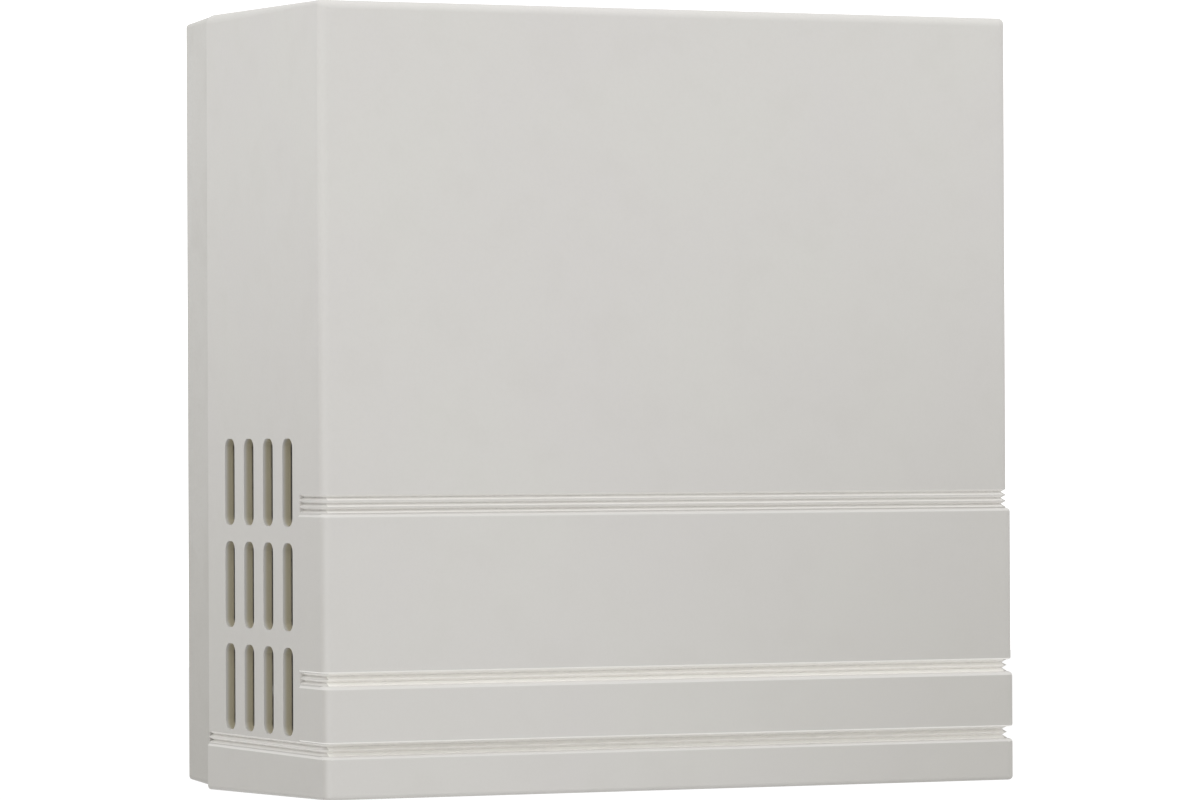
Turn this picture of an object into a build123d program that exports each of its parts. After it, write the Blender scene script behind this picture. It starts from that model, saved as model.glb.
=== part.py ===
"""Two-note doorbell chime box for a wall.

Millimetres. The origin is the middle of the back face, on the wall. X runs to the
right as seen from the room, Z runs up, and the room is towards -Y, so a depth d from
the wall is the plane Y = -d.

The box is a drafted front cover, with moulded bands and grooves and slotted sides,
that pushes onto a shallow base pan. The pan carries two tone bars on rubber grommets,
a chassis with two solenoids whose plungers strike the bars, and a terminal block.
"""

import os
from math import cos, hypot, pi, radians, sin, sqrt, tan

from build123d import *

# Housing
panel_width = 184.0
panel_height = 190.0
cover_depth = 75.0
cover_wall = 2.2
front_wall = 2.4
cover_draft = 1.0
corner_radius = 2.5
front_edge_radius = 2.2
inner_corner_radius = 1.0
seam_gap = 0.3
pan_depth = 17.5
pan_wall = 2.2
pan_floor = 2.5
pan_draft = 3.0
pan_inset = 0.25
pan_corner_radius = 1.0
lip_height = 8.0
lip_wall = 1.8
lip_root = 5.0
lip_clearance = 0.4
grip_proud = 0.3
grip_width = 6.0
cover_rib = 1.6
cover_rib_height = 3.0
cover_rib_pitch = 60.0
cover_rib_root_share = 0.75

# Raised bands of the cover, measured up from the bottom edge of the front
band_side_proud = 0.35
band_wrap = 13.9
upper_band = (29.7, 67.5)
upper_band_proud = 1.65
upper_band_bevel = 0.9
middle_band = (13.0, 26.7)
middle_band_proud = 2.55
foot_band_top = 10.0
foot_band_proud = 2.55
foot_band_edge = 1.0
low_band_bevel = 1.1
under_bevel = 0.5
groove_depth = 1.2
groove_width = 1.3
wrapped_groove_heights = (71.5, 70.0, 68.5, 28.9, 27.5)
long_groove_heights = (12.2, 10.8)

# Sound slots in both sides of the cover
slot_width = 6.4
slot_length = 21.2
slot_radius = 2.4
slot_pitch_deep = 12.7
slot_pitch_high = 25.2
slot_columns = 4
slot_rows = 3
slot_setback = 40.8
slot_height = 49.8

# Wall fixing and wire entry
fixing_pitch = 146.05
fixing_hole_radius = 2.3
fixing_pad_radius = 6.5
fixing_pad_height = 1.5
wire_window_width = 26.0
wire_window_height = 12.0
wire_window_radius = 2.0
wire_window_z = -46.0
wire_rim_wall = 1.6
wire_rim_height = 2.0
floor_rib = 1.6
floor_rib_height = 4.0
floor_rib_heights = (60.0, -34.0)

# Mechanism
mechanism_z = 10.0
striking_depth = 42.0
coil_pitch = 40.0
chassis_half_width = 24.0
chassis_height = 84.0
chassis_reach_front = 18.0
chassis_reach_back = 22.0
chassis_metal = 1.5
chassis_bend = 1.0
ear_corner = 5.0
notch_neck = 11.2
bobbin_wall = 1.4
snout_length = 3.0
snout_notch_clearance = 0.15
bobbin_flange_radius = 15.0
bobbin_flange = 1.5
bobbin_play = 0.1
winding_radius = 12.5
wrap_thickness = 0.4
fit_clearance = 0.05
plunger_radius = 4.3
plunger_bore_clearance = 0.3
plunger_length = 34.0
plunger_edge = 0.6
strike_gap = 6.0
return_gap = 3.0
striker_radius = 2.5
striker_spigot_radius = 1.5
striker_spigot_length = 7.0
striker_nose = 1.2
collar_radius = 5.0
collar_width = 2.0
nose_length = 2.0
bumper_width = 2.0
bumper_radius = 5.5
bumper_bore_clearance = 0.4

# Return springs
spring_wire = 0.7
wire_sides = 6
gap_samples = 400
spring_radius = 3.8
spring_turns = 6
spring_end_turn = 2.2

# Tone bars
bar_gap = 104.0
bar_thickness = 3.0
bar_width = 26.0
bar_corner = 1.5
low_bar_length = 154.0
high_bar_length = 130.0
node_share = 0.224
bar_hole_radius = 3.8
grommet_flange = 2.0
grommet_flange_radius = 6.0
peg_radius = 2.0
peg_spare = 1.6
retainer_radius = 5.0
retainer_thickness = 0.9
retainer_crown = 0.5
pillar_width = 7.0
pillar_height = 10.0
pillar_head = 6.0
pillar_edge = 1.0
gusset_wall = 2.0
gusset_reach = 10.0
gusset_rise_share = 0.6

# Screws
boss_radius = 4.5
chassis_screw_pitch = (20.0, 76.0)
chassis_screw_radius = 1.45
chassis_screw_length = 11.5
screw_hole_radius = 1.8
screw_head_radius = 3.2
screw_head_height = 2.0
screw_head_edge = 0.7

# Terminal block
terminal_z = -65.0
terminal_count = 3
terminal_pitch = 15.0
block_width = 66.0
block_height = 14.0
block_seat_height = 3.5
block_seat_margin = 1.0
block_ear_thickness = 4.0
block_thickness = 10.0
block_screw_pitch = 54.5
barrier_wall = 1.5
barrier_height = 4.0
plate_metal = 0.8
plate_width = 8.0
plate_margin = 1.5
tag_height = 6.0
terminal_screw_radius = 1.6
terminal_screw_length = 8.0
terminal_screw_drop = 1.0

# Coil leads
lead_radius = 0.6
lead_sides = 8
lead_arc_share = 0.45
lead_offsets = (19.0, 15.8)
lug_width = 8.5
lug_height = 6.0
lug_back_gap = 2.5
lug_thickness = 4.5
lead_straight_z = -34.0
lead_drop = 9.0
shared_tag_offset = 2.0

overrun = 1.0

# Depths and places that follow from the sizes above
front_depth = pan_depth + cover_depth
rim_depth = pan_depth + seam_gap
wrap_back = front_depth - band_wrap
bottom_z = -panel_height / 2
snout_radius = plunger_radius + plunger_bore_clearance + bobbin_wall
ear_inner = chassis_half_width - chassis_metal
snout_end = chassis_half_width + snout_length
flange_outer = ear_inner - bobbin_play
flange_inner = flange_outer - bobbin_flange
chassis_front = striking_depth + chassis_reach_front
chassis_back = striking_depth - chassis_reach_back
bar_inner = bar_gap / 2
bar_outer = bar_inner + bar_thickness
pillar_outer = bar_inner - grommet_flange
peg_end = bar_outer + grommet_flange + retainer_thickness + peg_spare
core_left = -strike_gap - plunger_length / 2
core_right = core_left + plunger_length
left_nose = -bar_inner + return_gap
right_nose = bar_inner - strike_gap
collar_left = left_nose + nose_length
collar_right = collar_left + collar_width
block_back = pan_floor + block_seat_height
block_front = block_back + block_thickness
ear_front = block_back + block_ear_thickness
plate_front = block_front + plate_metal
tag_z = terminal_z + block_height / 2
coil_heights = {"front": mechanism_z + coil_pitch / 2, "rear": mechanism_z - coil_pitch / 2}


def cover_spread(depth):
    """Growth of each half size of the cover from its front panel back to this depth."""
    return (front_depth - depth) * tan(radians(cover_draft))


def cover_size(depth, inset=0.0):
    """Width and height of the cover's upper outline at a depth, less an inset all round."""
    growth = 2 * (cover_spread(depth) - inset)
    return panel_width + growth, panel_height + growth


def pan_size(depth, inset=0.0):
    """Width and height of the base pan at a depth, less an inset all round."""
    width, height = cover_size(pan_depth, pan_inset + inset)
    shrink = 2 * (pan_depth - depth) * tan(radians(pan_draft))
    return width - shrink, height - shrink


def rounded_frustum(near_depth, far_depth, size_at, inset, radius, draft, mode=Mode.ADD):
    """Extrude a rounded rectangle from one depth to another, drawn in by its draft."""
    with BuildSketch(Plane.XZ.offset(near_depth)) as section:
        RectangleRounded(*size_at(near_depth, inset), radius)
    extrude(section.sketch.face(), amount=far_depth - near_depth, taper=draft, mode=mode)


def plan_outline(z, front_offset, side_offset, back_depth, corner):
    """Outline of the cover seen from above, from its front back to a depth, at height z.

    The offsets move the front and the sides outwards.
    """
    front = front_depth + front_offset
    front_half = cover_size(front)[0] / 2 + side_offset
    back_half = cover_size(back_depth)[0] / 2 + side_offset
    with BuildSketch(Plane.XY.offset(z)) as outline:
        with BuildLine():
            Polyline(
                (-back_half, -back_depth),
                (-front_half, -front),
                (front_half, -front),
                (back_half, -back_depth),
                close=True,
            )
        make_face()
        fillet(outline.vertices().group_by(Axis.Y)[0], corner)
    return outline.sketch.face()


def raised_band(low, high, proud, bevel):
    """A band that stands proud of the cover and wraps round its front corners."""
    with BuildPart() as band:
        outline = plan_outline(bottom_z + low, proud, band_side_proud, wrap_back, front_edge_radius)
        extrude(outline, amount=high - low)
        for place, width in ((0, under_bevel), (-1, bevel)):
            face = band.faces().filter_by(Axis.Z).sort_by(Axis.Z)[place]
            fillet(face.edges().sort_by(Axis.Y)[:-1], width)
    return band.part


def foot_band():
    """The lowest band, which runs back to the rim and follows the draft of the bottom."""
    front = front_depth + foot_band_proud
    with BuildPart() as band:
        with BuildSketch(Plane.XZ.offset(rim_depth)):
            Rectangle(*cover_size(rim_depth, -band_side_proud))
        extrude(amount=front - rim_depth, taper=cover_draft)
        split(bisect_by=Plane.XY.offset(bottom_z + foot_band_top), keep=Keep.BOTTOM)
        front_face = band.faces().sort_by(Axis.Y)[0]
        fillet(front_face.edges().sort_by(Axis.X)[:1], front_edge_radius)
        front_face = band.faces().sort_by(Axis.Y)[0]
        fillet(front_face.edges().sort_by(Axis.X)[-1:], front_edge_radius)
        fillet(band.faces().sort_by(Axis.Z)[0].edges().sort_by(Axis.Y)[:-1], foot_band_edge)
        fillet(band.faces().sort_by(Axis.Z)[-1].edges().sort_by(Axis.Y)[:-1], upper_band_bevel)
    return band.part


def groove_knife(height, back_depth):
    """What a V groove takes away round the front of the cover, back to a depth."""
    z = bottom_z + height
    flare = degrees_of(groove_depth, groove_width / 2)
    outline = plan_outline(
        z, -groove_depth, -groove_depth, back_depth - cover_wall, front_edge_radius - groove_depth
    )
    with BuildPart() as waist:
        extrude(outline, amount=groove_width / 2, taper=-flare)
        mirror(about=Plane.XY.offset(z))
    reach = front_depth - back_depth + foot_band_proud + overrun
    with BuildPart() as knife:
        with BuildSketch(Plane.XY.offset(z)):
            with Locations((0, -back_depth - reach / 2)):
                Rectangle(panel_width + 2 * cover_depth, reach)
        extrude(amount=groove_width / 2, both=True)
        add(waist.part, mode=Mode.SUBTRACT)
    return knife.part


def coil_plane(coil_z):
    """Plane through a coil's axis: x along the axis and y the distance from it."""
    return Plane(origin=(0, -striking_depth, coil_z), x_dir=(1, 0, 0), z_dir=(0, 0, 1))


def turned(plane, outline):
    """Add the solid that a half outline makes when it is turned about the plane's x axis."""
    with BuildSketch(plane) as half:
        with BuildLine():
            Polyline(*outline, close=True)
        make_face()
    revolve(half.sketch.face(), axis=Axis(plane.origin, plane.x_dir))


def sleeve(plane, start, end, inner, outer):
    """Add a plain sleeve from start to end along the plane's x axis."""
    turned(plane, [(start, inner), (end, inner), (end, outer), (start, outer)])


def pan_head_screw(plane, shank_radius, shank_length):
    """Add a screw whose head rests on the plane and whose shank goes down through it."""
    with BuildSketch(plane) as head:
        Circle(screw_head_radius)
    head_taper = degrees_of(screw_head_edge, screw_head_height)
    extrude(head.sketch.face(), amount=screw_head_height, taper=head_taper)
    with BuildSketch(plane) as shank:
        Circle(shank_radius)
    extrude(shank.sketch.face(), amount=-shank_length)


def degrees_of(rise, run):
    """The angle, in degrees, of a slope that rises this much over this run."""
    return Vector(run, rise).get_angle(Vector(1, 0))


def biarc(start, start_tangent, end, end_tangent):
    """Two arcs, tangent to each other, that join two points with given tangents."""
    span = end - start
    tangent_sum = start_tangent + end_tangent
    quadratic = tangent_sum.dot(tangent_sum) - 4
    linear = span.dot(tangent_sum)
    reach = (linear - sqrt(linear**2 - quadratic * span.dot(span))) / quadratic
    first = start + start_tangent * reach
    last = end - end_tangent * reach
    middle = (first + last) * 0.5
    TangentArc(start, middle, tangent=start_tangent)
    TangentArc(middle, end, tangent=(last - first).normalized())


def spring_points(coil_z):
    """Points and tangents of a return spring, by quarter turns, from snout to collar."""
    centre = Vector(0, -striking_depth, coil_z)
    start_x = -snout_end
    length = start_x - collar_right
    body_length = length - 2 * spring_end_turn
    slope = body_length / (2 * pi * spring_turns)
    stations = []
    for quarter in range(4 * spring_turns + 1):
        angle = quarter * pi / 2
        x = start_x - spring_end_turn - slope * angle
        out = Vector(0, cos(angle), sin(angle))
        along = Vector(-slope, -spring_radius * sin(angle), spring_radius * cos(angle))
        stations.append((centre + Vector(x, 0, 0) + out * spring_radius, along.normalized()))
    return centre, start_x, stations


def spring_wire_line(coil_z):
    """The centre line of a return spring, its two ends square to snout and collar."""
    centre, start_x, stations = spring_points(coil_z)
    axial = Vector(-1, 0, 0)
    turn_in = spring_end_turn - spring_wire
    first_point, first_tangent = stations[0]
    last_point, last_tangent = stations[-1]
    side = Vector(0, 0, 1)
    entry = Vector(start_x - spring_wire, first_point.Y, first_point.Z) - side * turn_in
    leave = Vector(collar_right + spring_wire, last_point.Y, last_point.Z) + side * turn_in
    with BuildLine() as line:
        Line(entry - axial * spring_wire, entry)
        biarc(entry, axial, first_point, first_tangent)
        for (start, start_tangent), (end, end_tangent) in zip(stations, stations[1:]):
            biarc(start, start_tangent, end, end_tangent)
        biarc(last_point, last_tangent, leave, axial)
        Line(leave, leave + axial * spring_wire)
    return line.wire()


def least_gap(wire, diameter, samples, skip_length):
    """The least distance between a tube's own turns, measured on points of its line."""
    points = [wire.position_at(i / samples) for i in range(samples + 1)]
    step = wire.length / samples
    skip = int(skip_length / step)
    gaps = [
        hypot(*(a - b)) for i, a in enumerate(points) for b in points[i + skip :]
    ]
    return min(gaps) - diameter


def lead_line(start_x, end_x, coil_z):
    """The centre line of a coil lead, from the bobbin's lug down to a terminal tag."""
    lug_bottom = coil_z - lug_height / 2
    lead_y = -(chassis_back + chassis_metal + lug_back_gap + lug_thickness / 2)
    tag_y = -(plate_front + tag_height / 2)
    end_z = tag_z + plate_metal
    low_z = end_z + lead_drop
    points = [
        (start_x, lead_y, lug_bottom),
        (start_x, lead_y, lead_straight_z),
        (end_x, tag_y, low_z),
        (end_x, tag_y, end_z),
    ]
    vectors = [Vector(*point) for point in points]
    runs = [later - earlier for earlier, later in zip(vectors, vectors[1:])]
    radii = []
    for before, after in zip(runs, runs[1:]):
        turn = radians(before.get_angle(after))
        shorter = min(before.length, after.length)
        radii.append(lead_arc_share * shorter / tan(turn / 2))
    with BuildLine() as line:
        FilletPolyline(*points, radius=radii)
    print("lead radii", [round(radius, 1) for radius in radii], "length", round(line.wire().length, 1))
    return line.wire()


def tube(line, radius, sides):
    """Add a many-sided wire along a line, and return the volume that its section makes."""
    with BuildSketch(Plane(origin=line @ 0, z_dir=line % 0)) as section:
        RegularPolygon(radius, sides)
    sweep(section.sketch.face(), path=line)
    return section.sketch.area * line.length


# Cover
bands = [
    raised_band(*upper_band, upper_band_proud, upper_band_bevel),
    raised_band(*middle_band, middle_band_proud, low_band_bevel),
    foot_band(),
]
knives = [groove_knife(height, wrap_back) for height in wrapped_groove_heights]
knives += [groove_knife(height, rim_depth - overrun) for height in long_groove_heights]

with BuildPart() as cover:
    rounded_frustum(rim_depth, front_depth, cover_size, 0.0, corner_radius, cover_draft)
    fillet(cover.faces().sort_by(Axis.Y)[0].edges(), front_edge_radius)
    for band in bands:
        add(band)
    for knife in knives:
        add(knife, mode=Mode.SUBTRACT)
    rounded_frustum(
        rim_depth - overrun,
        front_depth - front_wall,
        cover_size,
        cover_wall,
        inner_corner_radius,
        cover_draft,
        mode=Mode.SUBTRACT,
    )
    with BuildSketch(Plane.YZ):
        with Locations((slot_setback - front_depth, bottom_z + slot_height)):
            with GridLocations(slot_pitch_deep, slot_pitch_high, slot_columns, slot_rows):
                RectangleRounded(slot_width, slot_length, slot_radius)
    extrude(amount=panel_width, both=True, mode=Mode.SUBTRACT)
    # Stiffening ribs run front to back inside the top and bottom walls
    rib_back = pan_depth + lip_height + seam_gap
    rib_root = cover_wall * cover_rib_root_share
    wall_z = cover_size(front_depth, cover_wall)[1] / 2
    with BuildSketch(Plane.XZ.offset(rib_back)):
        for side in (-1, 1):
            with Locations((0, side * (wall_z + (rib_root - cover_rib_height) / 2))):
                with GridLocations(cover_rib_pitch, 0, 3, 1):
                    Rectangle(cover_rib, cover_rib_height + rib_root)
    extrude(amount=front_depth - front_wall / 2 - rib_back)
cover.part.label = "cover"

# Base pan
pillar_places = []
for side, length in ((-1, low_bar_length), (1, high_bar_length)):
    node_offset = length * (0.5 - node_share)
    for end in (-1, 1):
        pillar_places.append((side, mechanism_z + end * node_offset))
pillar_centre = pillar_outer - pillar_width / 2
lip_size = cover_size(pan_depth + lip_height, cover_wall + lip_clearance)
lip_inner = tuple(length - 2 * lip_wall for length in lip_size)

with BuildPart() as base_pan:
    rounded_frustum(0.0, pan_depth, pan_size, 0.0, pan_corner_radius, -pan_draft)
    rounded_frustum(
        pan_floor,
        pan_depth + overrun,
        pan_size,
        pan_wall,
        inner_corner_radius,
        -pan_draft,
        mode=Mode.SUBTRACT,
    )
    # Lip that the cover pushes over, rooted inside the rim
    root_size = pan_size(pan_depth - lip_root, pan_wall / 2)
    with BuildSketch(Plane.XZ.offset(pan_depth - lip_root)):
        RectangleRounded(*root_size, inner_corner_radius)
        RectangleRounded(*lip_inner, inner_corner_radius, mode=Mode.SUBTRACT)
    extrude(amount=lip_root)
    with BuildSketch(Plane.XZ.offset(pan_depth)):
        RectangleRounded(*lip_size, inner_corner_radius)
        RectangleRounded(*lip_inner, inner_corner_radius, mode=Mode.SUBTRACT)
    extrude(amount=lip_height)
    # Grip pads on the lip take up most of the clearance to the cover
    with BuildSketch(Plane.XZ.offset(pan_depth)):
        for turn, half in ((0, lip_size[1] / 2), (90, lip_size[0] / 2)):
            for side in (-1, 1):
                for shift in (-panel_width / 4, panel_width / 4):
                    place = (shift, side * half) if turn == 0 else (side * half, shift)
                    with Locations(Location((*place, 0), (0, 0, turn))):
                        Rectangle(grip_width, 2 * grip_proud)
    extrude(amount=lip_height)
    # Ribs on the floor
    with BuildSketch(Plane.XZ.offset(pan_floor)):
        inner_width, inner_height = pan_size(pan_floor, pan_wall / 2)
        for side in (-1, 1):
            with Locations((side * pillar_centre, 0)):
                Rectangle(floor_rib, inner_height)
        for rib_z in floor_rib_heights:
            with Locations((0, rib_z)):
                Rectangle(inner_width, floor_rib)
    extrude(amount=floor_rib_height)
    # Pads round the wall screws, bosses for the chassis and the seat of the terminal block
    with BuildSketch(Plane.XZ.offset(pan_floor)):
        with GridLocations(fixing_pitch, fixing_pitch, 2, 2):
            Circle(fixing_pad_radius)
    extrude(amount=fixing_pad_height)
    with BuildSketch(Plane.XZ.offset(pan_floor)):
        with Locations((0, mechanism_z)):
            with GridLocations(*chassis_screw_pitch, 2, 2):
                Circle(boss_radius)
    extrude(amount=chassis_back - pan_floor)
    with BuildSketch(Plane.XZ.offset(pan_floor)):
        with Locations((0, terminal_z)):
            Rectangle(block_width + 2 * block_seat_margin, block_height + 2 * block_seat_margin)
    extrude(amount=block_seat_height)
    with BuildSketch(Plane.XZ.offset(pan_floor)):
        with Locations((0, wire_window_z)):
            RectangleRounded(
                wire_window_width + 2 * wire_rim_wall,
                wire_window_height + 2 * wire_rim_wall,
                wire_window_radius + wire_rim_wall,
            )
    extrude(amount=wire_rim_height)
    # Pillars with a peg for each grommet, and a gusset behind each pillar
    for side, pillar_z in pillar_places:
        with BuildSketch(Plane.XZ.offset(pan_floor)):
            with Locations((side * pillar_centre, pillar_z)):
                RectangleRounded(pillar_width, pillar_height, pillar_edge)
        extrude(amount=striking_depth + pillar_head - pan_floor)
        foot_x = side * (pillar_outer - pillar_width)
        gusset_top = pan_floor + (striking_depth - pan_floor) * gusset_rise_share
        with BuildSketch(Plane.XY.offset(pillar_z)):
            with BuildLine():
                Polyline(
                    (side * pillar_centre, -pan_floor),
                    (foot_x - side * gusset_reach, -pan_floor),
                    (foot_x, -gusset_top),
                    (side * pillar_centre, -gusset_top),
                    close=True,
                )
            make_face()
        extrude(amount=gusset_wall / 2, both=True)
        with BuildSketch(Plane.YZ.offset(side * pillar_centre)):
            with Locations((-striking_depth, pillar_z)):
                Circle(peg_radius)
        extrude(amount=side * (peg_end - pillar_centre))
    # Holes
    with BuildSketch(Plane.XZ.offset(-overrun)):
        with GridLocations(fixing_pitch, fixing_pitch, 2, 2):
            Circle(fixing_hole_radius)
        with Locations((0, wire_window_z)):
            RectangleRounded(wire_window_width, wire_window_height, wire_window_radius)
    extrude(amount=pan_floor + floor_rib_height + 2 * overrun, mode=Mode.SUBTRACT)
    with BuildSketch(Plane.XZ.offset(chassis_back)):
        with Locations((0, mechanism_z)):
            with GridLocations(*chassis_screw_pitch, 2, 2):
                Circle(chassis_screw_radius + fit_clearance)
    extrude(amount=-chassis_screw_length, mode=Mode.SUBTRACT)
    with BuildSketch(Plane.XZ.offset(block_back)):
        with Locations((0, terminal_z)):
            with GridLocations(block_screw_pitch, 0, 2, 1):
                Circle(chassis_screw_radius + fit_clearance)
    extrude(amount=-block_seat_height, mode=Mode.SUBTRACT)
base_pan.part.label = "base_pan"

# Chassis: a bent steel channel, its ears notched so that the bobbins snap in
with BuildPart() as solenoid_chassis:
    with BuildSketch(Plane.XY.offset(mechanism_z)) as channel:
        channel_middle = -(chassis_back + chassis_front) / 2
        with Locations((0, channel_middle)):
            Rectangle(2 * chassis_half_width, chassis_front - chassis_back)
        fillet(channel.vertices().group_by(Axis.Y)[-1], chassis_bend + chassis_metal)
    extrude(amount=chassis_height / 2, both=True)
    with BuildSketch(Plane.XY.offset(mechanism_z)) as hollow:
        with Locations((0, channel_middle - chassis_metal)):
            Rectangle(2 * ear_inner, chassis_front - chassis_back)
        fillet(hollow.vertices().group_by(Axis.Y)[-1], chassis_bend)
    extrude(amount=chassis_height / 2, both=True, mode=Mode.SUBTRACT)
    with BuildSketch(Plane.YZ):
        for coil_z in coil_heights.values():
            with Locations((-striking_depth, coil_z)):
                Circle(snout_radius + snout_notch_clearance)
            with Locations((-(striking_depth + chassis_front) / 2, coil_z)):
                Rectangle(chassis_front - striking_depth, notch_neck)
    extrude(amount=chassis_half_width, both=True, mode=Mode.SUBTRACT)
    ear_corners = solenoid_chassis.edges().filter_by(Axis.X).group_by(Axis.Y)[0]
    outer_corners = ear_corners.sort_by(Axis.Z)[:2] + ear_corners.sort_by(Axis.Z)[-2:]
    chamfer(outer_corners, ear_corner)
    with BuildSketch(Plane.XZ.offset(chassis_back)):
        with Locations((0, mechanism_z)):
            with GridLocations(*chassis_screw_pitch, 2, 2):
                Circle(screw_hole_radius)
    extrude(amount=chassis_metal, mode=Mode.SUBTRACT)
solenoid_chassis.part.label = "solenoid_chassis"

with BuildPart() as chassis_screws:
    for x_side in (-1, 1):
        for z_side in (-1, 1):
            screw_x = x_side * chassis_screw_pitch[0] / 2
            screw_z = mechanism_z + z_side * chassis_screw_pitch[1] / 2
            seat = Plane.XZ.offset(chassis_back + chassis_metal)
            seat.origin += Vector(screw_x, 0, screw_z)
            pan_head_screw(seat, chassis_screw_radius, chassis_screw_length)
chassis_screws.part.label = "chassis_screws"


# Coils
def bobbin_outline():
    """Half outline of a bobbin: snout, flange, barrel, flange and snout."""
    bore = plunger_radius + plunger_bore_clearance
    right_half = [
        (flange_inner, snout_radius),
        (flange_inner, bobbin_flange_radius),
        (flange_outer, bobbin_flange_radius),
        (flange_outer, snout_radius),
        (snout_end, snout_radius),
        (snout_end, bore),
    ]
    left_half = [(-x, r) for x, r in reversed(right_half)]
    return right_half + left_half


lug_back = chassis_back + chassis_metal + lug_back_gap
lug_sides = {"front": -1, "rear": 1}
coil_parts = []
for coil_name, coil_z in coil_heights.items():
    with BuildPart() as bobbin:
        turned(coil_plane(coil_z), bobbin_outline())
        # Lug at the back of one flange, which holds the start of both leads
        with BuildSketch(Plane.XZ.offset(lug_back)):
            with Locations((lug_sides[coil_name] * (flange_outer - lug_width / 2), coil_z)):
                Rectangle(lug_width, lug_height)
        extrude(amount=lug_thickness)
    with BuildPart() as winding:
        sleeve(
            coil_plane(coil_z),
            -flange_inner + fit_clearance,
            flange_inner - fit_clearance,
            snout_radius + fit_clearance,
            winding_radius,
        )
    with BuildPart() as wrap:
        sleeve(
            coil_plane(coil_z),
            -flange_inner + fit_clearance,
            flange_inner - fit_clearance,
            winding_radius,
            winding_radius + wrap_thickness,
        )
    for piece, ending in ((bobbin, "bobbin"), (winding, "winding"), (wrap, "winding_wrap")):
        piece.part.label = f"{coil_name}_{ending}"
        coil_parts.append(piece.part)

# Plungers
for coil_name, coil_z in coil_heights.items():
    with BuildPart() as core:
        spigot_bore = striker_spigot_radius
        turned(
            coil_plane(coil_z),
            [
                (core_left + striker_spigot_length, 0),
                (core_left + striker_spigot_length, spigot_bore),
                (core_left, spigot_bore),
                (core_left, plunger_radius - plunger_edge),
                (core_left + plunger_edge, plunger_radius),
                (core_right - plunger_edge, plunger_radius),
                (core_right, plunger_radius - plunger_edge),
                (core_right, spigot_bore),
                (core_right - striker_spigot_length, spigot_bore),
                (core_right - striker_spigot_length, 0),
            ],
        )
    # The left rod carries the spring collar. Only the front one has a nose that strikes.
    left_end = left_nose if coil_name == "front" else collar_left
    with BuildPart() as left_rod:
        nose_outline = [(collar_left, collar_radius), (collar_left, 0)]
        if coil_name == "front":
            nose_outline = [
                (collar_left, collar_radius),
                (collar_left, striker_radius),
                (left_end + striker_nose, striker_radius),
                (left_end, striker_radius - striker_nose),
                (left_end, 0),
            ]
        turned(
            coil_plane(coil_z),
            [
                (core_left + striker_spigot_length - fit_clearance, 0),
                (core_left + striker_spigot_length - fit_clearance, striker_spigot_radius),
                (core_left, striker_spigot_radius),
                (core_left, striker_radius),
                (collar_right, striker_radius),
                (collar_right, collar_radius),
                *nose_outline,
            ],
        )
    # The rear plunger comes back against a rubber bumper, so its right rod has a collar
    stop_collar = []
    bumper_end = snout_end + bumper_width
    if coil_name == "rear":
        stop_collar = [
            (bumper_end + seam_gap, striker_radius),
            (bumper_end + seam_gap, collar_radius),
            (bumper_end + seam_gap + collar_width, collar_radius),
            (bumper_end + seam_gap + collar_width, striker_radius),
        ]
    with BuildPart() as right_rod:
        turned(
            coil_plane(coil_z),
            [
                (core_right - striker_spigot_length + fit_clearance, 0),
                (core_right - striker_spigot_length + fit_clearance, striker_spigot_radius),
                (core_right, striker_spigot_radius),
                (core_right, striker_radius),
                *stop_collar,
                (right_nose - striker_nose, striker_radius),
                (right_nose, striker_radius - striker_nose),
                (right_nose, 0),
            ],
        )
    for piece, ending in ((core, "core"), (left_rod, "spring_rod"), (right_rod, "striker_rod")):
        piece.part.label = f"{coil_name}_plunger_{ending}"
        coil_parts.append(piece.part)

with BuildPart() as rear_bumper:
    sleeve(
        coil_plane(coil_heights["rear"]),
        snout_end,
        snout_end + bumper_width,
        striker_radius + bumper_bore_clearance,
        bumper_radius,
    )
rear_bumper.part.label = "rear_bumper"

# Return springs
for coil_name, coil_z in coil_heights.items():
    spring_line = spring_wire_line(coil_z)
    with BuildPart() as spring:
        expected = tube(spring_line, spring_wire / 2, wire_sides)
    print(
        coil_name,
        "spring least gap",
        round(least_gap(spring_line, spring_wire, gap_samples, spring_radius * pi), 2),
        "volume over section times length",
        round(spring.part.volume / expected, 4),
    )
    spring.part.label = f"{coil_name}_return_spring"
    coil_parts.append(spring.part)

# Tone bars, each hung on two grommets where it doesn't move when it rings
bar_parts = []
for bar_name, side, length in (("low", -1, low_bar_length), ("high", 1, high_bar_length)):
    with BuildPart() as bar:
        with BuildSketch(Plane.YZ.offset(side * bar_inner)):
            with Locations((-striking_depth, mechanism_z)):
                RectangleRounded(bar_width, length, bar_corner)
                with GridLocations(0, length * (1 - 2 * node_share), 1, 2):
                    Circle(bar_hole_radius + fit_clearance, mode=Mode.SUBTRACT)
        extrude(amount=side * bar_thickness)
    bar.part.label = f"tone_bar_{bar_name}"
    bar_parts.append(bar.part)

with BuildPart() as bar_grommets:
    for side, pillar_z in pillar_places:
        peg = Plane(origin=(0, -striking_depth, pillar_z), x_dir=(side, 0, 0), z_dir=(0, 0, 1))
        bore = peg_radius + fit_clearance
        turned(
            peg,
            [
                (pillar_outer, bore),
                (bar_outer + grommet_flange, bore),
                (bar_outer + grommet_flange, grommet_flange_radius),
                (bar_outer, grommet_flange_radius),
                (bar_outer, bar_hole_radius),
                (bar_inner, bar_hole_radius),
                (bar_inner, grommet_flange_radius),
                (pillar_outer, grommet_flange_radius),
            ],
        )
bar_grommets.part.label = "bar_grommets"

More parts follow.
